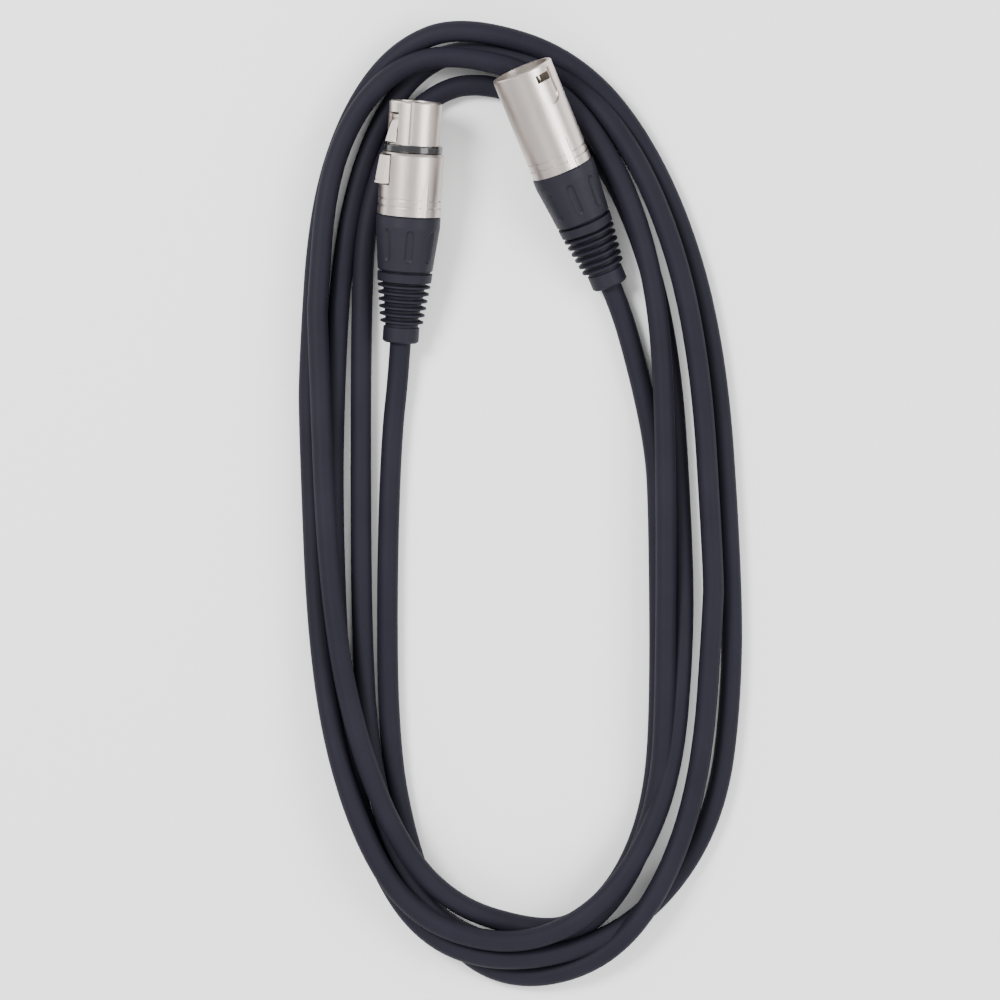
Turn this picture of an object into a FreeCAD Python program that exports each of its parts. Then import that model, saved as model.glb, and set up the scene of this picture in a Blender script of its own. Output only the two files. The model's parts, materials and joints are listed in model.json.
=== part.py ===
import FreeCAD, Part
import math
import os

import Sketcher

# A three-metre microphone cable wound into a long oval coil, with a three-contact socket
# (female) at one end and a three-pin plug (male) at the other.  Millimetres.
# World frame: +X right, +Y along the coil's length, +Z up from the table; z = 0 is the table.
# Connector frame: the origin is the centre of the front face, +Z points out of the front,
# +Y points at the polarising key, and the connector's length runs along -Z.

DIMENSIONS = {
    # a cutter runs this far past the face that it cuts; pressed-in pieces have this clearance
    "overshoot": 1.0,
    "press_clearance": 0.02,
    # cable and coil
    "cable_diameter": 6.5,
    "coil_height": 13.0,
    "coil_edge_radius": 4.0,
    "bed_gap": 0.4,
    # where each connector's front face lies, its heading from +Y towards +X, its upward tilt
    # and how far its key is rolled away from straight up
    "female_front_x": -31.85,
    "female_front_y": 123.2,
    "female_front_z": 18.6,
    "female_heading": 4.03,
    "female_tilt": 9.5,
    "female_roll": 5.0,
    "male_front_x": 0.35,
    "male_front_y": 132.4,
    "male_front_z": 22.8,
    "male_heading": -23.2,
    "male_tilt": 13.9,
    "male_roll": 16.0,
    # standard interface of the connectors
    "contact_circle": 3.8,
    "pin_radius": 1.2,
    "nose_radius": 8.0,
    "socket_radius": 8.2,
    # female shell
    "female_length": 34.6,
    "nose_length": 13.0,
    "nose_bevel": 0.4,
    "nose_bore": 6.85,
    "female_rear_radius": 9.75,
    "rear_bore": 8.3,
    "rear_bore_depth": 17.0,
    "rear_bevel": 0.8,
    "ring_groove_radius": 7.4,
    "ring_length": 2.5,
    "ring_radius": 9.1,
    "ring_fit": 0.03,
    "ring_gap": 0.1,
    "ring_bevel": 0.35,
    "key_width": 2.2,
    "key_groove_width": 1.2,
    "key_groove_depth": 0.85,
    "key_groove_end": 12.8,
    "window_width": 4.8,
    "window_clearance": 0.5,
    # both shells: the two fine grooves round the rear, and the plain band that breaks them
    "fine_groove_width": 0.55,
    "fine_groove_depth": 0.5,
    "band_depth": 0.3,
    "band_length": 9.5,
    "band_angle": -35.0,
    "fine_groove_first": 29.4,
    "fine_groove_pitch": 2.2,
    # insulating inserts
    "insert_recess": 0.4,
    "insert_rear": 17.0,
    "insert_gap": 0.05,
    "mouth_radius": 1.35,
    "mouth_depth": 1.0,
    "contact_hole_radius": 1.55,
    "latch_channel_floor": 4.85,
    "channel_clearance": 0.7,
    "spring_seat": 3.2,
    # contacts
    "contact_radius": 1.5,
    "contact_bore": 1.22,
    "contact_depth": 10.0,
    "contact_floor": 1.5,
    "cup_radius": 1.15,
    "cup_bore": 0.92,
    "cup_reach": 4.0,
    "cup_well_depth": 3.0,
    # latch
    "latch_angle": 49.0,
    "latch_width": 4.2,
    "latch_inner": 5.9,
    "latch_outer": 6.45,
    "latch_pivot": 4.7,
    "latch_pivot_radius": 5.8,
    "latch_boss_radius": 0.9,
    "latch_end": 25.0,
    "latch_root": 0.2,
    "ramp_start": 1.2,
    "ramp_lean": 17.0,
    "tooth_height": 8.95,
    "tooth_end": 12.3,
    "tab_start": 16.5,
    "tab_height": 11.9,
    "tab_lean": 9.0,
    "trim_width": 4.0,
    "trim_length": 22.0,
    "grip_count": 5,
    "grip_first": 1.3,
    "grip_pitch": 1.5,
    "grip_width": 0.6,
    "grip_depth": 0.35,
    "latch_pin_radius": 0.45,
    "latch_pin_clearance": 0.05,
    "latch_pin_length": 4.9,
    "latch_pin_end_gap": 0.2,
    "spring_radius": 0.9,
    "spring_wire": 0.25,
    "spring_turns": 4.0,
    "spring_place": 15.6,
    "spring_offset": 0.8,
    "spring_gap": 0.05,
    # male shell
    "male_length": 32.6,
    "male_radius": 9.5,
    "male_bevel": 0.3,
    "socket_depth": 15.2,
    "male_insert_length": 5.0,
    "ridge_depth": 0.8,
    "ridge_width": 1.8,
    "ridge_root": 0.3,
    "ridge_start": 1.6,
    "ridge_end_gap": 0.1,
    "pocket_width": 7.0,
    "pocket_depth": 0.6,
    "pocket_start": 1.3,
    "pocket_end": 12.4,
    "male_window_start": 2.5,
    "male_window_end": 5.0,
    "male_window_width": 5.0,
    "pin_recess": 3.4,
    "pin_tip_radius": 0.7,
    "pin_tip_length": 0.9,
    "pin_root_radius": 1.45,
    # gland: collar nut, chuck and ribbed boot, the same at both ends
    "collar_radius": 9.9,
    "collar_rear_radius": 8.5,
    "collar_length": 17.3,
    "collar_bore": 7.6,
    "collar_gap": 0.1,
    "collar_bevel": 0.5,
    "collar_plain": 3.5,
    "collar_lip": 1.6,
    "sleeve_radius": 8.2,
    "sleeve_length": 6.5,
    "flute_count": 8,
    "flute_radius": 1.7,
    "flute_depth": 0.6,
    "flute_start": 5.6,
    "flute_end": 13.2,
    "flute_phase": 12.0,
    "boot_length": 22.1,
    "boot_neck_radius": 7.1,
    "boot_shoulder_radius": 8.5,
    "boot_shoulder_length": 3.2,
    "shoulder_gap": 0.6,
    "shoulder_taper": 0.2,
    "rib_count": 6,
    "rib_pitch": 2.2,
    "rib_tip_radius": 8.15,
    "rib_last_radius": 6.7,
    "rib_root": 1.5,
    "rib_thickness": 1.5,
    "rib_tip_width": 0.5,
    "boot_tail_radius": 5.6,
    "tail_bevel": 0.5,
    "tail_neck_length": 0.8,
    "tail_neck_slope": 0.2,
    "boot_flange_length": 4.0,
    "flange_gap": 0.1,
    "chuck_radius": 6.6,
    "chuck_front": 30.5,
    "chuck_length": 14.5,
    "chuck_slot": 1.2,
    "chuck_slot_angle": 140.0,
    "jacket_gap": 0.05,
    "jacket_end": 29.3,
    # wires from the cable's end to the solder cups
    "wire_radius": 0.7,
    "drain_radius": 0.5,
    "wire_spread": 1.7,
    "wire_straight": 3.0,
    "wire_end_gap": 0.7,
    "wire_seat_gap": 0.3,
    "ground_width": 3.0,
    "ground_thickness": 0.4,
    "ground_length": 5.0,
    "ground_inset": 0.7,
    "ground_reach": 2.6,
    "female_ground_gap": 0.8,
    "male_ground_gap": 0.3,
}

SHEET = "dims"
doc = FreeCAD.newDocument("microphone_cable")
sheet = doc.addObject("Spreadsheet::Sheet", SHEET)
for row, (alias, value) in enumerate(DIMENSIONS.items(), start=1):
    sheet.set(f"A{row}", alias)
    sheet.set(f"B{row}", str(value))
    sheet.setAlias(f"B{row}", alias)
doc.recompute()

NODES = []


def size(alias):
    """A driving dimension, read from the sheet."""
    return float(sheet.get(alias))


def expression(text):
    """Turn 'nose_radius - 1' into an expression that reads the sheet."""
    words = []
    word = ""
    for letter in text + " ":
        if letter.isalnum() or letter in "_.":
            word += letter
            continue
        words.append(f"{SHEET}.{word}" if word in DIMENSIONS else word)
        words.append(letter)
        word = ""
    return "".join(words).strip()


def bind(item, **formulas):
    for prop, formula in formulas.items():
        item.setExpression(prop, expression(formula))


def node(item, label, placement=None):
    """Name a finished sub-part, put it in its place and keep it for the export."""
    item.Label = label
    if placement is not None:
        item.Placement = placement
    NODES.append(item)
    return item


def carry(item, kind):
    """Take a simple piece, made in a connector's frame, to where that connector lies."""
    item.recompute()
    item.setExpression(".Placement.Base.z", None)
    item.Placement = PLACES[kind].multiply(item.Placement)
    return item


def cylinder(name, radius, front, rear):
    """Round bar on the connector's axis, between two depths behind the front face."""
    bar = doc.addObject("Part::Cylinder", name)
    bind(bar, Radius=radius, Height=f"({rear}) - ({front})")
    bar.setExpression(".Placement.Base.z", expression(f"-({rear})"))
    return bar


def cone(name, front_radius, rear_radius, front, rear):
    bar = doc.addObject("Part::Cone", name)
    bind(bar, Radius1=rear_radius, Radius2=front_radius, Height=f"({rear}) - ({front})")
    bar.setExpression(".Placement.Base.z", expression(f"-({rear})"))
    return bar


def block(name, width, low, high, front, rear, angle=0.0):
    """Block across the axis: its width is tangential and it reaches from radius low to
    radius high in the direction that lies at an angle from the key, towards +X."""
    box = doc.addObject("Part::Box", name)
    bind(box, Length=width, Width=f"({high}) - ({low})", Height=f"({rear}) - ({front})")
    turn = FreeCAD.Rotation(FreeCAD.Vector(0, 0, 1), -angle)
    corner = FreeCAD.Vector(-formula_value(width) / 2, formula_value(low), 0)
    box.Placement = FreeCAD.Placement(turn.multVec(corner), turn)
    box.setExpression(".Placement.Base.z", expression(f"-({rear})"))
    return box


def formula_value(formula):
    """The number that a formula on the sheet's dimensions gives."""
    probe = doc.addObject("App::FeaturePython", "probe")
    probe.addProperty("App::PropertyFloat", "Value")
    probe.setExpression("Value", expression(formula))
    probe.recompute()
    value = probe.Value
    doc.removeObject(probe.Name)
    return value


def fuse(name, *pieces):
    joined = doc.addObject("Part::MultiFuse", name)
    joined.Shapes = list(pieces)
    return joined


def cut(name, base, *tools):
    result = doc.addObject("Part::Cut", name)
    result.Base = base
    result.Tool = tools[0] if len(tools) == 1 else fuse(name + "_tools", *tools)
    return result


def shift(item, angle, radius="contact_circle"):
    """Move a piece off the axis, to a radius in the direction at an angle from the key."""
    reach = formula_value(radius)
    turn = math.radians(angle)
    base = item.Placement.Base
    item.Placement.Base = FreeCAD.Vector(reach * math.sin(turn), reach * math.cos(turn), base.z)
    return item


def revolved(name, profile):
    """PartDesign body turned about the axis from a closed outline of (radius, depth)
    pairs, each a formula on the sheet."""
    body = doc.addObject("PartDesign::Body", name)
    plane = next(o for o in body.Origin.OriginFeatures if o.Role == "XZ_Plane")
    axis = next(o for o in body.Origin.OriginFeatures if o.Role == "Z_Axis")
    sketch = body.newObject("Sketcher::SketchObject", name + "_profile")
    sketch.AttachmentSupport = [(plane, "")]
    sketch.MapMode = "FlatFace"
    corners = [(formula_value(r), -formula_value(depth)) for r, depth in profile]
    count = len(corners)
    for i, start in enumerate(corners):
        end = corners[(i + 1) % count]
        sketch.addGeometry(Part.LineSegment(FreeCAD.Vector(*start, 0), FreeCAD.Vector(*end, 0)))
    for i in range(count):
        sketch.addConstraint(Sketcher.Constraint("Coincident", i, 2, (i + 1) % count, 1))
    for i, (r, depth) in enumerate(profile):
        across = sketch.addConstraint(Sketcher.Constraint("DistanceX", -1, 1, i, 1, corners[i][0]))
        along = sketch.addConstraint(Sketcher.Constraint("DistanceY", -1, 1, i, 1, corners[i][1]))
        sketch.setExpression(f"Constraints[{across}]", expression(r))
        sketch.setExpression(f"Constraints[{along}]", expression(f"-({depth})"))
    turned = body.newObject("PartDesign::Revolution", name + "_turned")
    turned.Profile = sketch
    turned.ReferenceAxis = (axis, [""])
    turned.Angle = 360
    sketch.Visibility = False
    body.Tip = turned
    doc.recompute()
    return body


def connector_placement(kind):
    """Placement that carries a connector's own frame to where it lies in the coil."""
    heading = math.radians(size(kind + "_heading"))
    tilt = math.radians(size(kind + "_tilt"))
    roll = size(kind + "_roll")
    front = FreeCAD.Vector(math.sin(heading) * math.cos(tilt), math.cos(heading) * math.cos(tilt),
                           math.sin(tilt))
    up = FreeCAD.Vector(0, 0, 1)
    key = (up - front * up.dot(front)).normalize()
    side = key.cross(front)
    lay = FreeCAD.Rotation(side, key, front, "ZYX")
    rolled = lay.multiply(FreeCAD.Rotation(FreeCAD.Vector(0, 0, 1), -roll))
    centre = FreeCAD.Vector(*(size(f"{kind}_front_{axis}") for axis in "xyz"))
    return FreeCAD.Placement(centre, rolled)


PLACES = {kind: connector_placement(kind) for kind in ("female", "male")}
CONTACT_ANGLES = {"1": 90.0, "2": -90.0, "3": 180.0}
WIRE_NAMES = {"1": "screen", "2": "hot", "3": "cold"}
# on each side of a corner of a tube, its arc takes up this share of the shorter run
ARC_SHARE = 0.45
# a tube's volume may differ from its section times its length by this share
VOLUME_TOLERANCE = 0.01
# an edge that rises less than this lies level
LEVEL = 0.01


def fine_grooves(kind, length, radius):
    """Two fine grooves round the rear of a shell, each broken by a plain axial band."""
    rings = []
    for i in range(2):
        front = f"{length} - female_length + fine_groove_first + {i} * fine_groove_pitch"
        rear = f"{front} + fine_groove_width"
        outer = cylinder(f"{kind}_groove_out_{i}", f"{radius} + overshoot", front, rear)
        inner = cylinder(f"{kind}_groove_in_{i}", f"{radius} - fine_groove_depth", front, rear)
        gap = block(f"{kind}_groove_band_{i}", "key_width", "0", f"{radius} + 2 * overshoot", front,
                    rear, size("band_angle"))
        rings.append(cut(f"{kind}_groove_{i}", outer, inner, gap))
    band = block(f"{kind}_band", "key_width", f"{radius} - band_depth", f"{radius} + overshoot",
                 f"{length} - band_length", f"{length} + overshoot", size("band_angle"))
    return rings + [band]


def female_shell():
    latch = size("latch_angle")
    profile = [
        ("nose_bore", "0"), ("nose_radius - nose_bevel", "0"), ("nose_radius", "nose_bevel"),
        ("nose_radius", "nose_length"), ("ring_groove_radius", "nose_length"),
        ("ring_groove_radius", "nose_length + ring_length"),
        ("female_rear_radius - rear_bevel", "nose_length + ring_length"),
        ("female_rear_radius", "nose_length + ring_length + rear_bevel"),
        ("female_rear_radius", "female_length"), ("rear_bore", "female_length"),
        ("rear_bore", "female_length - rear_bore_depth"),
        ("nose_bore", "female_length - rear_bore_depth"),
    ]
    tools = [
        block("female_key_groove", "key_groove_width", "nose_radius - key_groove_depth",
              "nose_radius + overshoot", "-overshoot", "key_groove_end"),
        block("female_nose_window", "window_width", "nose_bore - overshoot", "nose_radius + overshoot",
              "latch_pivot - latch_boss_radius - window_clearance", "tooth_end + window_clearance",
              latch),
        block("female_tab_window", "window_width", "nose_bore - overshoot",
              "female_rear_radius + overshoot", "tab_start - window_clearance",
              "latch_end + window_clearance", latch),
    ]
    tools += fine_grooves("female", "female_length", "female_rear_radius")
    node(cut("female_shell", revolved("female_shell_turned", profile), *tools), "female_shell",
         PLACES["female"])


def female_insert():
    latch = size("latch_angle")
    blank = cylinder("female_insert_blank", "nose_bore - insert_gap", "insert_recess", "insert_rear")
    tools = []
    for key, angle in CONTACT_ANGLES.items():
        mouth = cylinder(f"female_mouth_{key}", "mouth_radius", "insert_recess - overshoot",
                         "insert_recess + mouth_depth")
        hole = cylinder(f"female_hole_{key}", "contact_hole_radius", "insert_recess + mouth_depth",
                        "insert_rear + overshoot")
        tools += [shift(mouth, angle), shift(hole, angle)]
    tools.append(block("female_latch_channel", "latch_width + 2 * window_clearance",
                       "latch_channel_floor", "nose_bore + overshoot",
                       "latch_pivot - latch_boss_radius - channel_clearance",
                       "insert_rear + overshoot", latch))
    tools.append(block("female_spring_seat", "latch_width", "spring_seat", "nose_bore + overshoot",
                       "spring_place - 2 * spring_radius", "insert_rear + overshoot", latch))
    tools.append(pin_bar("female_pin_hole", "latch_pin_radius + press_clearance",
                         "latch_pin_length + 2 * latch_pin_end_gap"))
    node(cut("female_insert", blank, *tools), "female_insert", PLACES["female"])


def latch_directions():
    """Unit vectors outward through the latch and along its hinge line."""
    angle = math.radians(size("latch_angle"))
    outward = FreeCAD.Vector(math.sin(angle), math.cos(angle), 0)
    return outward, FreeCAD.Vector(0, 0, 1).cross(outward)


def pin_bar(name, radius, length):
    """Round bar across the latch, on its hinge line."""
    outward, along = latch_directions()
    centre = outward * size("latch_pivot_radius") - FreeCAD.Vector(0, 0, size("latch_pivot"))
    bar = doc.addObject("Part::Cylinder", name)
    bind(bar, Radius=radius, Height=length)
    start = centre - along * (formula_value(length) / 2)
    bar.Placement = FreeCAD.Placement(start, FreeCAD.Rotation(FreeCAD.Vector(0, 0, 1), along))
    return bar


def slope_cutter(name, height, end, lean):
    """Block that trims the latch along a slope rising to its full height at the rear end."""
    cutter = doc.addObject("Part::Box", name)
    bind(cutter, Length="latch_width + 2 * overshoot", Width="trim_width", Height="trim_length")
    outward = FreeCAD.Rotation(FreeCAD.Vector(0, 0, 1), -size("latch_angle"))
    corner = FreeCAD.Vector(-size("latch_width") / 2 - size("overshoot"), size(height), -size(end))
    tip = outward.multiply(FreeCAD.Rotation(FreeCAD.Vector(1, 0, 0), size(lean)))
    cutter.Placement = FreeCAD.Placement(outward.multVec(corner), tip)
    return cutter


def female_latch():
    """Lever that hinges at the front of the nose: a ramped tooth and, behind it, a push tab."""
    latch = size("latch_angle")
    bar = block("latch_bar", "latch_width", "latch_inner", "latch_outer", "latch_pivot", "latch_end",
                latch)
    boss = pin_bar("latch_boss", "latch_boss_radius", "latch_width")
    ramp = block("latch_ramp", "latch_width", "latch_outer - latch_root", "tooth_height",
                 "latch_pivot + ramp_start", "tooth_end", latch)
    tab = block("latch_tab", "latch_width", "latch_outer - latch_root", "tab_height", "tab_start",
                "latch_end", latch)
    solid = fuse("latch_solid", bar, boss, ramp, tab)
    tools = [
        slope_cutter("latch_ramp_slope", "tooth_height", "tooth_end", "ramp_lean"),
        slope_cutter("latch_tab_slope", "tab_height", "latch_end", "tab_lean"),
        pin_bar("latch_eye", "latch_pin_radius + latch_pin_clearance", "latch_width + 2 * overshoot"),
    ]
    for i in range(int(size("grip_count"))):
        front = f"latch_end - grip_first - {i} * grip_pitch"
        groove = block(f"latch_grip_{i}", "latch_width + 2 * overshoot", "tab_height - grip_depth",
                       "tab_height + overshoot", front, f"{front} + grip_width", latch)
        tools.append(groove)
    node(cut("female_latch", solid, *tools), "female_latch", PLACES["female"])
    hinge_pin = pin_bar("female_latch_pin", "latch_pin_radius", "latch_pin_length")
    node(carry(hinge_pin, "female"), "female_latch_pin")


def latch_spring():
    """Compression spring between the insert's seat and the underside of the latch."""
    outward, along = latch_directions()
    seat = size("spring_seat")
    height = size("latch_inner") - seat - 2 * (size("spring_wire") + size("spring_gap"))
    coil = Part.makeHelix(height / size("spring_turns"), height, size("spring_radius"))
    start = FreeCAD.Vector(size("spring_radius"), 0, 0)
    wire = Part.Wire(Part.makeCircle(size("spring_wire"), start, FreeCAD.Vector(0, 1, 0)))
    spring = doc.addObject("Part::Feature", "female_latch_spring")
    spring.Shape = Part.Wire(coil).makePipeShell([wire], True, True)
    base = (outward * (seat + size("spring_wire") + size("spring_gap"))
            + along * size("spring_offset") - FreeCAD.Vector(0, 0, size("spring_place")))
    own = FreeCAD.Placement(base, FreeCAD.Rotation(FreeCAD.Vector(0, 0, 1), outward))
    node(spring, "female_latch_spring", PLACES["female"].multiply(own))


def seal_ring():
    """Rubber ring in the groove behind the nose."""
    profile = [
        ("ring_groove_radius + ring_fit", "nose_length + ring_gap"),
        ("ring_radius - ring_bevel", "nose_length + ring_gap"),
        ("ring_radius", "nose_length + ring_gap + ring_bevel"),
        ("ring_radius", "nose_length + ring_length - ring_gap - ring_bevel"),
        ("ring_radius - ring_bevel", "nose_length + ring_length - ring_gap"),
        ("ring_groove_radius + ring_fit", "nose_length + ring_length - ring_gap"),
    ]
    node(revolved("female_seal_ring", profile), "female_seal_ring", PLACES["female"])


def female_contacts():
    """Socket contacts: a bored barrel with a solder cup behind it."""
    front = "insert_recess + mouth_depth + insert_gap"
    floor = f"{front} + contact_depth + contact_floor"
    for key, angle in CONTACT_ANGLES.items():
        name = f"female_contact_{key}"
        barrel = cylinder(name + "_barrel", "contact_radius", front, floor)
        cup = cylinder(name + "_cup", "cup_radius", floor, "insert_rear + cup_reach")
        bore = cylinder(name + "_bore", "contact_bore", "0", f"{front} + contact_depth")
        well = cylinder(name + "_well", "cup_bore", "insert_rear + cup_reach - cup_well_depth",
                        "insert_rear + cup_reach + overshoot")
        parts = [shift(piece, angle) for piece in (barrel, cup, bore, well)]
        node(cut(name, fuse(name + "_solid", *parts[:2]), *parts[2:]), name, PLACES["female"])


def male_pocket(angle):
    """Recess of even depth with a straight front and a round rear end, for a mating latch."""
    front = block("male_pocket_block", "pocket_width", "0", "male_radius + overshoot", "pocket_start",
                  "pocket_end - pocket_width / 2", angle)
    turn = math.radians(angle)
    outward = FreeCAD.Vector(math.sin(turn), math.cos(turn), 0)
    rear = doc.addObject("Part::Cylinder", "male_pocket_rear")
    bind(rear, Radius="pocket_width / 2", Height="male_radius + overshoot")
    depth = formula_value("pocket_end - pocket_width / 2")
    rear.Placement = FreeCAD.Placement(FreeCAD.Vector(0, 0, -depth),
                                       FreeCAD.Rotation(FreeCAD.Vector(0, 0, 1), outward))
    core = cylinder("male_pocket_core", "male_radius - pocket_depth", "0", "male_length")
    return cut("male_pocket", fuse("male_pocket_outline", front, rear), core)


def male_shell():
    profile = [
        ("socket_radius", "0"), ("male_radius - male_bevel", "0"), ("male_radius", "male_bevel"),
        ("male_radius", "male_length"), ("rear_bore", "male_length"),
        ("rear_bore", "socket_depth + male_insert_length"),
        ("socket_radius", "socket_depth + male_insert_length"),
    ]
    pocket = -size("latch_angle")
    tools = [
        male_pocket(pocket),
        block("male_window", "male_window_width", "socket_radius - overshoot", "male_radius + overshoot",
              "male_window_start", "male_window_end", pocket),
    ]
    tools += fine_grooves("male", "male_length", "male_radius")
    bar = block("male_ridge_bar", "ridge_width", "socket_radius - ridge_depth",
                "socket_radius + ridge_root", "ridge_start", "socket_depth - ridge_end_gap")
    trim = cylinder("male_ridge_trim", "socket_radius - ridge_depth", "0", "male_length")
    ridge = cut("male_ridge", bar, trim)
    turned = fuse("male_shell_blank", revolved("male_shell_turned", profile), ridge)
    node(cut("male_shell", turned, *tools), "male_shell", PLACES["male"])


def male_insert():
    blank = cylinder("male_insert_blank", "socket_radius - insert_gap", "socket_depth",
                     "socket_depth + male_insert_length")
    tools = []
    for key, angle in CONTACT_ANGLES.items():
        hole = cylinder(f"male_hole_{key}", "pin_root_radius + press_clearance",
                        "socket_depth - overshoot", "socket_depth + male_insert_length + overshoot")
        tools.append(shift(hole, angle))
    node(cut("male_insert", blank, *tools), "male_insert", PLACES["male"])


def male_pins():
    """Contact pins: a blunt tip, the pin, and a root with a solder cup behind the insert."""
    rear = "socket_depth + male_insert_length"
    for key, angle in CONTACT_ANGLES.items():
        name = f"male_pin_{key}"
        tip = cone(name + "_tip", "pin_tip_radius", "pin_radius", "pin_recess - pin_tip_length",
                   "pin_recess")
        pin = cylinder(name + "_bar", "pin_radius", "pin_recess", "socket_depth")
        root = cylinder(name + "_root", "pin_root_radius", "socket_depth", f"{rear} + cup_reach")
        well = cylinder(name + "_well", "cup_bore", f"{rear} + cup_reach - cup_well_depth",
                        f"{rear} + cup_reach + overshoot")
        parts = [shift(piece, angle) for piece in (tip, pin, root, well)]
        node(cut(name, fuse(name + "_solid", *parts[:3]), parts[3]), name, PLACES["male"])


def ground_contact(kind, front):
    """Spring strip that ties the shell to the cable's screen."""
    inner = "rear_bore - ground_inset"
    strip = block(f"{kind}_ground_strip", "ground_width", inner, f"{inner} + ground_thickness", front,
                  f"{front} + ground_length")
    foot = block(f"{kind}_ground_foot", "ground_width", "rear_bore - ground_reach",
                 f"{inner} + ground_thickness", front, f"{front} + ground_thickness")
    node(fuse(f"{kind}_ground_contact", strip, foot), f"{kind}_ground_contact", PLACES[kind])


def gland_nut(kind, length):
    """Collar nut: a sleeve inside the shell, then a tapered collar with grip flutes."""
    profile = [
        ("collar_bore", f"{length} - sleeve_length"), ("sleeve_radius", f"{length} - sleeve_length"),
        ("sleeve_radius", f"{length} + collar_gap"),
        ("collar_radius - collar_bevel", f"{length} + collar_gap"),
        ("collar_radius", f"{length} + collar_gap + collar_bevel"),
        ("collar_radius", f"{length} + collar_plain"),
        ("collar_rear_radius", f"{length} + collar_length - collar_bevel"),
        ("collar_rear_radius - collar_bevel", f"{length} + collar_length"),
        ("boot_neck_radius + jacket_gap", f"{length} + collar_length"),
        ("boot_neck_radius + jacket_gap", f"{length} + collar_length - collar_lip"),
        ("collar_bore", f"{length} + collar_length - collar_lip"),
    ]
    turned = revolved(f"{kind}_gland_blank", profile)
    count = int(size("flute_count"))
    flutes = [flute(f"{kind}_flute_{i}", length, 360.0 * i / count + size("flute_phase"))
              for i in range(count)]
    node(cut(f"{kind}_gland_nut", turned, *flutes), f"{kind}_gland_nut", PLACES[kind])


def flute(name, length, angle):
    """Round-ended cutter that lies along the collar's taper and cuts one grip flute."""
    turn = FreeCAD.Rotation(FreeCAD.Vector(0, 0, 1), angle)
    radius = size("flute_radius")
    lift = radius - size("flute_depth")
    taper = formula_value("collar_length - collar_bevel - collar_plain")
    fall = (size("collar_radius") - size("collar_rear_radius")) / taper
    ends = []
    for reach in (size("flute_start"), size("flute_end")):
        surface = size("collar_radius") - fall * (reach - size("collar_plain"))
        place = FreeCAD.Vector(0, surface + lift, -formula_value(length) - reach)
        ends.append(turn.multVec(place))
    bar = doc.addObject("Part::Cylinder", name + "_bar")
    bind(bar, Radius="flute_radius")
    bar.Height = (ends[1] - ends[0]).Length
    lean = FreeCAD.Rotation(FreeCAD.Vector(0, 0, 1), ends[1] - ends[0])
    bar.Placement = FreeCAD.Placement(ends[0], lean)
    balls = []
    for number, end in enumerate(ends):
        ball = doc.addObject("Part::Sphere", f"{name}_end_{number}")
        bind(ball, Radius="flute_radius")
        ball.Placement.Base = end
        balls.append(ball)
    return fuse(name, bar, *balls)


def boot(kind, length):
    """Ribbed strain relief: a flange held inside the nut, a shoulder, ribs and a tail."""
    start = f"{length} + collar_length"
    flange = f"{start} - collar_lip - flange_gap"
    bore = "cable_diameter / 2 + jacket_gap"
    profile = [
        (bore, f"{flange} - boot_flange_length"),
        ("collar_bore - flange_gap", f"{flange} - boot_flange_length"),
        ("collar_bore - flange_gap", flange),
        ("boot_neck_radius", flange),
        ("boot_neck_radius", f"{start} + shoulder_gap"),
        ("boot_shoulder_radius", f"{start} + shoulder_gap"),
        ("boot_shoulder_radius - shoulder_taper", f"{start} + boot_shoulder_length"),
    ]
    count = int(size("rib_count"))
    for i in range(count):
        tip = f"rib_tip_radius + (rib_last_radius - rib_tip_radius) * {i} / (rib_count - 1)"
        front = f"{start} + boot_shoulder_length + {i} * rib_pitch"
        profile.append((f"{tip} - rib_root", front))
        crest = f"{front} + rib_pitch - rib_thickness / 2"
        profile.append((f"{tip} - rib_root", f"{front} + rib_pitch - rib_thickness"))
        profile.append((tip, f"{crest} - rib_tip_width / 2"))
        profile.append((tip, f"{crest} + rib_tip_width / 2"))
    ribs_end = f"{start} + boot_shoulder_length + rib_count * rib_pitch"
    profile += [
        ("boot_tail_radius - tail_bevel", ribs_end),
        ("boot_tail_radius - tail_bevel", f"{ribs_end} + tail_neck_length"),
        ("boot_tail_radius", f"{ribs_end} + tail_neck_length + tail_neck_slope"),
        ("boot_tail_radius", f"{start} + boot_length - tail_bevel"),
        ("boot_tail_radius - tail_bevel", f"{start} + boot_length"),
        (bore, f"{start} + boot_length"),
    ]
    node(revolved(f"{kind}_boot", profile), f"{kind}_boot", PLACES[kind])


def chuck(kind):
    """Split clamp that grips the jacket inside the nut."""
    length = f"{kind}_length"
    front = f"{length} - female_length + chuck_front"
    rear = f"{front} + chuck_length"
    middle = cylinder(f"{kind}_chuck_body", "chuck_radius", front, rear)
    bore = cylinder(f"{kind}_chuck_bore", "cable_diameter / 2 + jacket_gap", f"{front} - overshoot",
                    f"{rear} + overshoot")
    slot = block(f"{kind}_chuck_slot", "chuck_slot", "0", "chuck_radius + overshoot",
                 f"{front} - overshoot", f"{rear} + overshoot", size("chuck_slot_angle"))
    node(cut(f"{kind}_chuck", middle, bore, slot), f"{kind}_chuck", PLACES[kind])


def cable_end(kind):
    """The last stretch of jacketed cable, inside the boot and the chuck."""
    length = f"{kind}_length"
    jacket = cylinder(f"{kind}_cable_end", "cable_diameter / 2",
                      f"{length} - female_length + jacket_end",
                      f"{length} + collar_length + boot_length")
    node(carry(jacket, kind), f"{kind}_cable_end")


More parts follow.
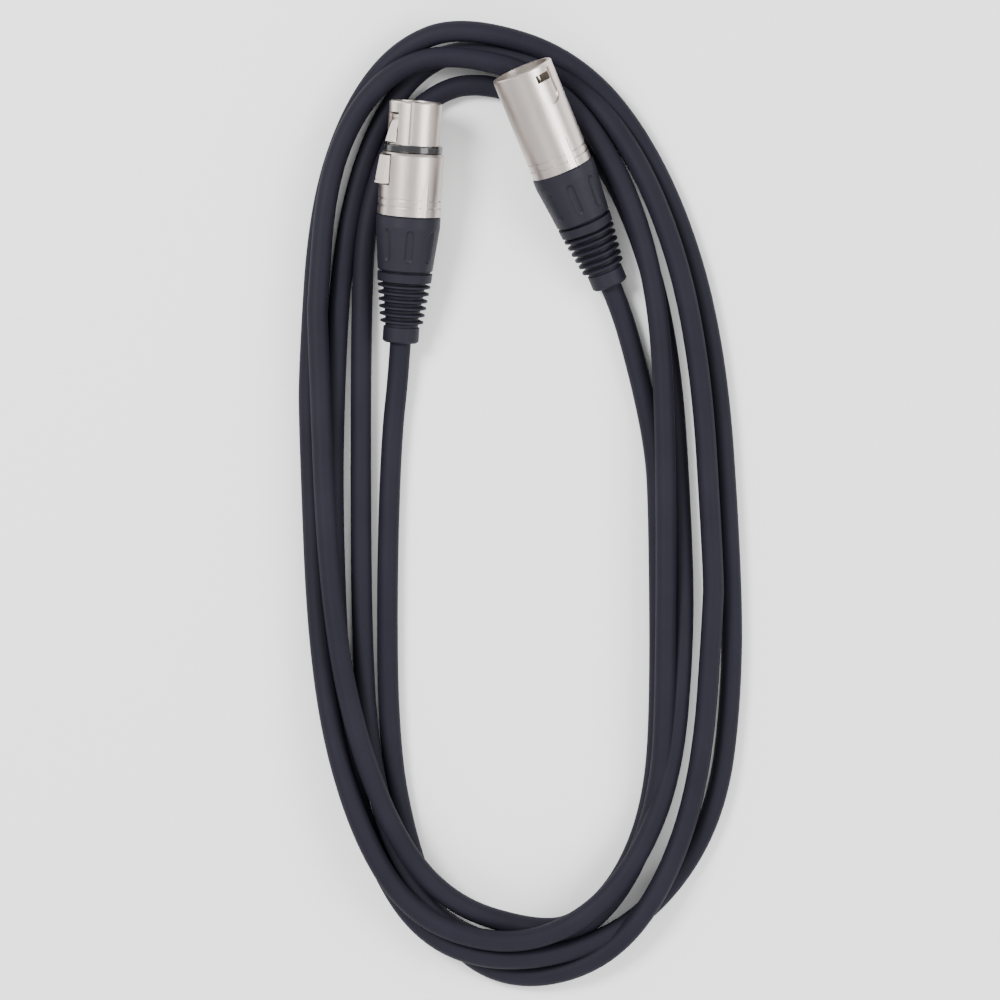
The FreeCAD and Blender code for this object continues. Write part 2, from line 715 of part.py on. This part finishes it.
def wires(kind):
    """Two insulated conductors and the bare screen wire, from jacket to solder cups."""
    rear = {"female": "insert_rear", "male": "socket_depth + male_insert_length"}[kind]
    start = formula_value(f"{rear} + cup_reach - cup_well_depth + wire_seat_gap")
    finish = formula_value(f"{kind}_length - female_length + jacket_end - wire_end_gap")
    for key, angle in CONTACT_ANGLES.items():
        name = f"{kind}_wire_{WIRE_NAMES[key]}"
        turn = math.radians(angle)
        out = FreeCAD.Vector(math.sin(turn), math.cos(turn), 0)
        radius = size("drain_radius" if key == "1" else "wire_radius")
        cup = out * size("contact_circle") - FreeCAD.Vector(0, 0, start)
        straight = out * size("contact_circle") - FreeCAD.Vector(0, 0, start + size("wire_straight"))
        inner = out * size("wire_spread") - FreeCAD.Vector(0, 0, finish)
        points = [cup, straight, inner]
        wire = doc.addObject("Part::Feature", name)
        wire.Shape = tube(points, radius)[0]
        node(wire, name, PLACES[kind])


def tube(points, radius):
    """Round tube along straight runs joined by tangent arcs; returns it with the radii."""
    edges = []
    radii = []
    last = points[0]
    for before, corner, after in zip(points, points[1:], points[2:]):
        arriving = (corner - before).normalize()
        leaving = (after - corner).normalize()
        turn = arriving.getAngle(leaving)
        shorter = min((corner - before).Length, (after - corner).Length)
        reach = ARC_SHARE * shorter
        radii.append(reach / math.tan(turn / 2))
        arc_start = corner - arriving * reach
        arc_end = corner + leaving * reach
        bisector = (leaving - arriving).normalize()
        centre = corner + bisector * (radii[-1] / math.cos(turn / 2))
        middle = centre - bisector * radii[-1]
        edges.append(Part.LineSegment(last, arc_start).toShape())
        edges.append(Part.Arc(arc_start, middle, arc_end).toShape())
        last = arc_end
    edges.append(Part.LineSegment(last, points[-1]).toShape())
    path = Part.Wire(edges)
    heading = points[1] - points[0]
    section = Part.Wire(Part.makeCircle(radius, points[0], heading))
    solid = path.makePipeShell([section], True, False)
    expected = math.pi * radius ** 2 * path.Length
    if abs(solid.Volume - expected) > VOLUME_TOLERANCE * expected:
        raise RuntimeError(f"tube volume {solid.Volume:.1f} is not {expected:.1f}")
    return solid, radii


def exit_points(kind, lead):
    """Where the cable leaves a boot, and a point straight out from there."""
    depth = formula_value(f"{kind}_length + collar_length + boot_length")
    return [PLACES[kind].multVec(FreeCAD.Vector(0, 0, -reach)) for reach in (depth, depth + lead)]


# Stretches of cable that are not in the coil, from each boot to where the coil takes them up.
# Each leaves its boot straight for the length of its lead run.
LEAD_RUNS = {"female": 12.0, "male": 9.0}
FEMALE_ROUTE = [(-39.5, 24.0, 3.6), (-40.7, -2.0, 3.3), (-41.2, -34.0, 3.3), (-40.8, -64.0, 3.3),
                (-38.4, -90.0, 3.3)]
MALE_ROUTE = [(34.6, 49.0, 3.5), (38.4, 34.0, 3.3), (41.4, 19.0, 3.3), (42.9, 4.0, 3.3)]


def lead_tubes():
    for kind, route in (("female", FEMALE_ROUTE), ("male", MALE_ROUTE)):
        points = exit_points(kind, LEAD_RUNS[kind]) + [FreeCAD.Vector(*point) for point in route]
        solid, radii = tube(points, size("cable_diameter") / 2)
        lead_tube = doc.addObject("Part::Feature", f"{kind}_lead")
        lead_tube.Shape = solid
        node(lead_tube, f"{kind}_lead", FreeCAD.Placement())
        print(f"{kind}_lead arc radii:", [round(r, 1) for r in radii])


# Outlines of the coil seen from above, followed clockwise.
COIL_OUTSIDE = [(-68.8, 20.0), (-67.9, 63.0), (-62.0, 100.0), (-50.9, 128.0), (-34.0, 143.5),
                (-16.4, 149.1), (0.0, 145.7), (16.0, 136.5), (33.0, 118.5), (50.3, 87.3),
                (60.2, 47.8), (66.4, 7.7), (68.8, -41.7), (64.5, -77.2), (52.5, -107.5),
                (36.5, -132.5), (18.5, -146.2), (1.5, -149.1), (-15.0, -145.3), (-32.5, -132.0),
                (-48.5, -110.0), (-58.5, -78.0), (-65.4, -30.9)]
COIL_INSIDE = [(-45.8, 17.0), (-45.7, 70.0), (-42.6, 95.4), (-33.0, 113.6), (-20.7, 123.8),
               (-6.2, 127.5), (7.1, 122.8), (18.5, 113.5), (29.5, 94.5), (36.2, 73.0),
               (39.0, 50.0), (39.9, 20.0), (40.0, -25.0), (39.0, -76.0), (33.5, -104.0),
               (21.6, -121.0), (7.7, -127.4), (-7.0, -125.3), (-25.5, -111.0), (-35.2, -92.0),
               (-41.5, -72.0), (-45.2, -50.0)]


def cable_coil():
    """One plain solid of the wound turns' outer shape, with a bed under each connector."""
    body = doc.addObject("PartDesign::Body", "coil_body")
    plane = next(o for o in body.Origin.OriginFeatures if o.Role == "XY_Plane")
    sketch = body.newObject("Sketcher::SketchObject", "coil_outline")
    sketch.AttachmentSupport = [(plane, "")]
    sketch.MapMode = "FlatFace"
    for outline in (COIL_OUTSIDE, COIL_INSIDE):
        curve = Part.BSplineCurve()
        curve.interpolate([FreeCAD.Vector(x, y, 0) for x, y in outline], PeriodicFlag=True)
        sketch.addGeometry(curve)
    pad = body.newObject("PartDesign::Pad", "coil_pad")
    pad.Profile = sketch
    bind(pad, Length="coil_height")
    body.Tip = pad
    doc.recompute()
    edges = [f"Edge{i + 1}" for i, edge in enumerate(pad.Shape.Edges)
             if edge.BoundBox.ZLength < LEVEL]
    rounded = body.newObject("PartDesign::Fillet", "coil_round")
    rounded.Base = (pad, edges)
    bind(rounded, Radius="coil_edge_radius")
    body.Tip = rounded
    doc.recompute()
    beds = [
        carry(cylinder("male_bed", "male_radius + bed_gap", "-overshoot", "male_length"), "male"),
        carry(cylinder("female_nose_bed", "nose_radius + bed_gap", "-overshoot", "nose_length"),
              "female"),
        carry(cylinder("female_rear_bed", "collar_radius + bed_gap", "nose_length - overshoot",
                       "female_length + collar_length"), "female"),
    ]
    coil = body
    for number, bed in enumerate(beds, start=1):
        coil = cut(f"coil_bedded_{number}", coil, bed)
        coil.Refine = False
    node(coil, "cable_coil")


female_shell()
female_insert()
female_latch()
latch_spring()
seal_ring()
female_contacts()
male_shell()
male_insert()
male_pins()
ground_contact("female", "insert_rear + female_ground_gap")
ground_contact("male", "socket_depth + male_insert_length + male_ground_gap")
for end in ("female", "male"):
    gland_nut(end, f"{end}_length")
    boot(end, f"{end}_length")
    chuck(end)
    cable_end(end)
    wires(end)
lead_tubes()
cable_coil()
doc.recompute()

for item in doc.Objects:
    if "Invalid" in item.State or "Error" in item.State:
        raise RuntimeError(f"{item.Label} failed: {item.State}")
os.makedirs("parts", exist_ok=True)
for item in NODES:
    if item.Shape.isNull() or not item.Shape.isValid():
        raise RuntimeError(f"{item.Label} has no valid shape")
    item.Shape.exportStep(f"parts/{item.Label}.step")
    print(item.Label, len(item.Shape.Solids), round(item.Shape.Volume, 1))
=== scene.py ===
import bpy
import json
import math
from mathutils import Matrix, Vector


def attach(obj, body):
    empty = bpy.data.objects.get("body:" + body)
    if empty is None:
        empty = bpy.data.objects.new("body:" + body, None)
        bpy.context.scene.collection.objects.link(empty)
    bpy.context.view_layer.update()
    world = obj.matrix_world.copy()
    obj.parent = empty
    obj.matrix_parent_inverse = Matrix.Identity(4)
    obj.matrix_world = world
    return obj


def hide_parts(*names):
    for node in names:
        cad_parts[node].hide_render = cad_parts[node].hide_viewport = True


# A coiled microphone cable with a socket connector (female) and a plug (male).  The camera, the
# materials and the lights are in metres, and the tables of the cable's route in millimetres.
# The two leads repeat part.py's points, and the wound turns are worked out by a loop.

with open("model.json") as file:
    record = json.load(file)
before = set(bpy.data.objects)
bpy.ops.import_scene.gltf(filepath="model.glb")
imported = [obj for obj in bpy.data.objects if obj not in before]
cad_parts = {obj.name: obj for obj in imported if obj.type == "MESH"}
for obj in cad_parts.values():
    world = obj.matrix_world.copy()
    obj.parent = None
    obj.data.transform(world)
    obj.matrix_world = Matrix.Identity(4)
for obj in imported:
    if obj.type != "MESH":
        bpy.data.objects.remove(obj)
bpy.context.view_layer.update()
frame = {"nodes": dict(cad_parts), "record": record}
NODES = frame["nodes"]

MM = 0.001
CABLE_DIAMETER = 6.5 * MM

# connectors, as in part.py: front face centre, heading from +Y towards +X and upward tilt in
# degrees, and the length from front face to the boot's tail
FEMALE = {"front": (-31.85, 123.2, 18.6), "heading": 4.03, "tilt": 9.5, "length": 74.0}
MALE = {"front": (0.35, 132.4, 22.8), "heading": -23.2, "tilt": 13.9, "length": 72.0}

FEMALE_ROUTE = [(-39.5, 24.0, 3.6), (-40.7, -2.0, 3.3), (-41.2, -34.0, 3.3), (-40.8, -64.0, 3.3),
                (-38.4, -90.0, 3.3)]
MALE_ROUTE = [(34.6, 49.0, 3.5), (38.4, 34.0, 3.3), (41.4, 19.0, 3.3), (42.9, 4.0, 3.3)]
# how far the cable goes straight on behind each boot
FEMALE_LEAD = 12.0
MALE_LEAD = 9.0

# The coil is a chain of turns.  A turn goes down the left, round the low end, up the right and
# round the top end.  A side is given by how far out it lies (x) and by where its straight stretch
# starts and stops (y), an end by its furthest place (x, y), in millimetres.  "height" is the
# height of the centreline at a turn's ten PLACES, because loose turns lie on one another.
TURNS = [
    {"left": (-41.0, 45.0, -30.0), "low": (3.0, -146.0),
     "right": (59.0, -35.0, -15.0), "top": (-13.0, 140.5),
     "height": [3.3, 3.3, 3.3, 3.3, 9.7, 9.7, 9.7, 9.7, 3.3, 3.3]},
    {"left": (-57.5, 30.0, -15.0), "low": (-4.0, -140.0),
     "right": (65.0, -58.0, -18.0), "top": (-16.0, 146.0),
     "height": [3.3, 3.3, 7.5, 9.3, 3.3, 3.3, 3.3, 3.3, 9.7, 3.5]},
    {"left": (-65.0, 45.0, 20.0), "low": (-6.0, -134.0),
     "right": (50.0, -45.0, -10.0), "top": (-12.0, 130.0),
     "height": [3.3, 3.3, 12.5, 13.0, 10.5, 6.5, 3.3, 3.3, 3.3, 3.3]},
    {"left": (-49.0, 60.0, -30.0), "low": (0.0, -136.5),
     "right": (44.5, -60.0, 25.0), "top": (-20.0, 138.0),
     "height": [3.3, 3.3, 8.8, 3.3, 5.0, 9.7, 9.7, 9.7, 9.7, 9.9]},
    {"left": (-62.0, 65.0, 50.0), "low": (6.0, -130.7),
     "right": (43.5, -60.0, 4.0),
     "height": [9.7, 9.7, 14.0, 6.5, 3.3, 3.3]},
]
# stations of a turn, counted from the upper end of its left side
PLACES = [0, 1, 3, 5, 7, 9, 10, 12, 14, 16]
STATIONS = 18
FIRST_STATION = 3                # the female lead joins the first turn here
LAST_STATION = 9                 # and the male lead leaves the last turn here

# how far a quadratic spline runs inside its points, as a share of their second difference
SPLINE_LAG = 0.125

# a corner is a quarter of an oval, squarer than an ellipse by its power
CORNER_STEPS = (22.5, 45.0, 67.5)
CORNER_POWER = {"low_left": 2.4, "low_right": 2.2, "top_right": 2.2, "top_left": 2.3}


def side_ends(side):
    """Both ends of a side's straight stretch, in the order in which the cable passes them."""
    return [(side[0], y) for y in side[1:]]


def corner(side, end, name):
    """Places on the corner from the end of a straight side to a turn's low or high end."""
    power = 2 / CORNER_POWER[name]
    places = []
    for degrees in CORNER_STEPS:
        across = math.cos(math.radians(degrees)) ** power
        along = math.sin(math.radians(degrees)) ** power
        places.append((end[0] + (side[0] - end[0]) * across, side[1] + (end[1] - side[1]) * along))
    return places


def coil_outline():
    """Every station of the turns, seen from above."""
    outline = []
    for turn, following in zip(TURNS, TURNS[1:] + [None]):
        left_high, left_low = side_ends(turn["left"])
        right_low, right_high = side_ends(turn["right"])
        outline += [left_high, left_low] + corner(left_low, turn["low"], "low_left")
        outline += [turn["low"]] + corner(right_low, turn["low"], "low_right")[::-1]
        outline += [right_low, right_high]
        if following:
            next_left = side_ends(following["left"])[0]
            outline += corner(right_high, turn["top"], "top_right") + [turn["top"]]
            outline += corner(next_left, turn["top"], "top_left")[::-1]
    return outline


def coil_heights():
    """Height of every station, in proportion between the PLACES that state one."""
    stated = [(number * STATIONS + place, height) for number, turn in enumerate(TURNS)
              for place, height in zip(PLACES, turn["height"])]
    heights = []
    for (start, low), (end, high) in zip(stated, stated[1:]):
        heights += [low + (high - low) * i / (end - start) for i in range(end - start)]
    return heights + [stated[-1][1]]


def coil_points():
    """Control points of the wound turns, in millimetres.  Each stands out from the outline by the
    spline's lag, so that the cable follows the outline."""
    outline = coil_outline()
    heights = coil_heights()
    last = (len(TURNS) - 1) * STATIONS + LAST_STATION
    points = []
    for i in range(FIRST_STATION, last + 1):
        before, here, after = [Vector(outline[j]) for j in (i - 1, i, min(i + 1, len(outline) - 1))]
        place = here + (here * 2 - before - after) * SPLINE_LAG if i < last else here
        points.append(Vector((place.x, place.y, heights[i])))
    return points


def connector_axis(connector):
    """Unit vector out of a connector's front face."""
    heading, tilt = math.radians(connector["heading"]), math.radians(connector["tilt"])
    return Vector((math.sin(heading) * math.cos(tilt), math.cos(heading) * math.cos(tilt),
                   math.sin(tilt)))


def behind(connector, depth):
    """Point on a connector's axis, that far behind its front face, in millimetres."""
    return Vector(connector["front"]) - connector_axis(connector) * depth


def route_points():
    """Control points of the whole cable, from the female boot to the male boot."""
    start = [behind(FEMALE, FEMALE["length"]), behind(FEMALE, FEMALE["length"] + FEMALE_LEAD)]
    finish = [behind(MALE, MALE["length"] + MALE_LEAD), behind(MALE, MALE["length"])]
    return (start + [Vector(p) for p in FEMALE_ROUTE] + coil_points()
            + [Vector(p) for p in reversed(MALE_ROUTE)] + finish)


# ---------------------------------------------------------------- camera
VIEW_CENTRE = Vector((-6.2, 1.5, 8.0)) * MM
VIEW_WIDTH = 308.6 * MM
LENS = 120.0
CLIP_END = 20.0


def camera():
    """Look straight down, from where the view is VIEW_WIDTH across."""
    data = bpy.data.cameras.new("camera")
    data.lens = LENS
    data.clip_end = CLIP_END
    cam = bpy.data.objects.new("camera", data)
    cam.location = VIEW_CENTRE + Vector((0, 0, VIEW_WIDTH * LENS / data.sensor_width))
    bpy.context.collection.objects.link(cam)
    bpy.context.scene.camera = cam


# ---------------------------------------------------------------- materials
GRAIN_DETAIL = 5.0
SHADE_SCALE = 45.0
SHADE_DETAIL = 3.0
SHADE_SPAN = (0.3, 0.7)


def material(name, color, roughness, metallic=0.0, grain=900.0, bump=0.1, depth=0.00005,
             shade=0.12, wear=0.08, coat=0.0, gloss=0.5):
    """Satin surface: fine grain in the bump and roughness, and a slow change of shade."""
    mat = bpy.data.materials.new(name)
    mat.use_nodes = True
    tree = mat.node_tree
    shader = tree.nodes["Principled BSDF"]
    shader.inputs["Metallic"].default_value = metallic
    shader.inputs["Coat Weight"].default_value = coat
    shader.inputs["Specular IOR Level"].default_value = gloss
    coords = tree.nodes.new("ShaderNodeTexCoord")
    fine = tree.nodes.new("ShaderNodeTexNoise")
    fine.inputs["Scale"].default_value = grain
    fine.inputs["Detail"].default_value = GRAIN_DETAIL
    slow = tree.nodes.new("ShaderNodeTexNoise")
    slow.inputs["Scale"].default_value = SHADE_SCALE
    slow.inputs["Detail"].default_value = SHADE_DETAIL
    for noise in (fine, slow):
        tree.links.new(coords.outputs["Object"], noise.inputs["Vector"])
    ramp = tree.nodes.new("ShaderNodeValToRGB")
    ramp.color_ramp.elements[0].position = SHADE_SPAN[0]
    ramp.color_ramp.elements[1].position = SHADE_SPAN[1]
    ramp.color_ramp.elements[0].color = (*[c * (1 - shade) for c in color], 1)
    ramp.color_ramp.elements[1].color = (*[min(1.0, c * (1 + shade)) for c in color], 1)
    tree.links.new(slow.outputs["Fac"], ramp.inputs["Fac"])
    tree.links.new(ramp.outputs["Color"], shader.inputs["Base Color"])
    rough = tree.nodes.new("ShaderNodeMapRange")
    rough.inputs["To Min"].default_value = roughness - wear
    rough.inputs["To Max"].default_value = roughness + wear
    tree.links.new(fine.outputs["Fac"], rough.inputs["Value"])
    tree.links.new(rough.outputs["Result"], shader.inputs["Roughness"])
    relief = tree.nodes.new("ShaderNodeBump")
    relief.inputs["Strength"].default_value = bump
    relief.inputs["Distance"].default_value = depth
    tree.links.new(fine.outputs["Fac"], relief.inputs["Height"])
    tree.links.new(relief.outputs["Normal"], shader.inputs["Normal"])
    return mat


MATERIALS = {
    "cable_jacket": material("cable_jacket", (0.0125, 0.0115, 0.0185), 0.6, grain=1400, bump=0.25,
                             gloss=0.08),
    "collar_plastic": material("collar_plastic", (0.0125, 0.012, 0.0185), 0.5, bump=0.3, gloss=0.16),
    "boot_plastic": material("boot_plastic", (0.0115, 0.011, 0.0175), 0.55, bump=0.3, gloss=0.14),
    "satin_nickel": material("satin_nickel", (0.60, 0.54, 0.505), 0.33, metallic=1.0, grain=2600,
                             bump=0.8, depth=0.00006, shade=0.06, wear=0.12),
    "insert_plastic": material("insert_plastic", (0.02, 0.02, 0.022), 0.4),
    "spring_steel": material("spring_steel", (0.6, 0.6, 0.6), 0.25, metallic=1.0),
    "chuck_plastic": material("chuck_plastic", (0.6, 0.6, 0.58), 0.45),
    "bare_copper": material("bare_copper", (0.75, 0.36, 0.2), 0.3, metallic=1.0),
    "wire_red": material("wire_red", (0.5, 0.03, 0.03), 0.4),
    "wire_white": material("wire_white", (0.75, 0.75, 0.72), 0.4),
    "ring_rubber": material("ring_rubber", (0.008, 0.008, 0.010), 0.22, coat=0.4),
    "contact_metal": material("contact_metal", (0.8, 0.76, 0.68), 0.2, metallic=1.0),
}


def finish_nodes():
    """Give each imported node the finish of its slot."""
    for entry in frame["record"]["subparts"]:
        obj = NODES[entry["node"]]
        chosen = MATERIALS[entry["material_slot"]]
        if not obj.material_slots:
            obj.data.materials.append(chosen)
        for place in obj.material_slots:
            place.material = chosen


# ---------------------------------------------------------------- cable
STEPS_PER_POINT = 14
ROUNDNESS = 8


def cable():
    """The whole cable as one open curve, in place of the CAD leads and coil."""
    data = bpy.data.curves.new("cable", "CURVE")
    data.dimensions = "3D"
    data.resolution_u = STEPS_PER_POINT
    data.bevel_depth = CABLE_DIAMETER / 2
    data.bevel_resolution = ROUNDNESS
    data.use_fill_caps = True
    spline = data.splines.new("NURBS")
    points = [p * MM for p in route_points()]
    spline.points.add(len(points) - 1)
    for place, point in zip(spline.points, points):
        place.co = (*point, 1.0)
    spline.order_u = 3
    spline.use_endpoint_u = True
    data.materials.append(MATERIALS["cable_jacket"])
    obj = bpy.data.objects.new("cable", data)
    bpy.context.collection.objects.link(obj)
    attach(obj, "root")
    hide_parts("female_lead", "male_lead", "cable_coil")


# ---------------------------------------------------------------- floor and light
FLOOR_REACH = 3.0
FLOOR_COLOUR = (0.93, 0.93, 0.93, 1)
FLOOR_ROUGHNESS = 0.9
SKY_COLOUR = (1, 1, 1, 1)
SKY_STRENGTH = 0.95
# name, place, side of the lamp and power in watts
LAMPS = [("key", (-0.55, 0.35, 0.9), 0.35, 15), ("fill", (0.8, 0.1, 0.8), 0.6, 10),
         ("low", (0.0, -0.9, 0.7), 0.6, 6)]


def floor():
    data = bpy.data.meshes.new("floor")
    corners = [(x * FLOOR_REACH, y * FLOOR_REACH, 0) for x, y in ((-1, -1), (1, -1), (1, 1), (-1, 1))]
    data.from_pydata(corners, [], [(0, 1, 2, 3)])
    obj = bpy.data.objects.new("floor", data)
    bpy.context.collection.objects.link(obj)
    mat = bpy.data.materials.new("floor")
    mat.use_nodes = True
    shader = mat.node_tree.nodes["Principled BSDF"]
    shader.inputs["Base Color"].default_value = FLOOR_COLOUR
    shader.inputs["Roughness"].default_value = FLOOR_ROUGHNESS
    obj.data.materials.append(mat)


def area_light(name, place, side, power):
    """A square lamp that points at the middle of the coil."""
    data = bpy.data.lights.new(name, "AREA")
    data.size = side
    data.energy = power
    lamp = bpy.data.objects.new(name, data)
    lamp.location = place
    lamp.rotation_euler = (-Vector(place)).to_track_quat("-Z", "Y").to_euler()
    bpy.context.collection.objects.link(lamp)


def lights():
    for lamp in LAMPS:
        area_light(*lamp)
    world = bpy.data.worlds.new("studio")
    world.use_nodes = True
    world.node_tree.nodes["Background"].inputs["Color"].default_value = SKY_COLOUR
    world.node_tree.nodes["Background"].inputs["Strength"].default_value = SKY_STRENGTH
    bpy.context.scene.world = world


camera()
cable()
finish_nodes()
floor()
lights()
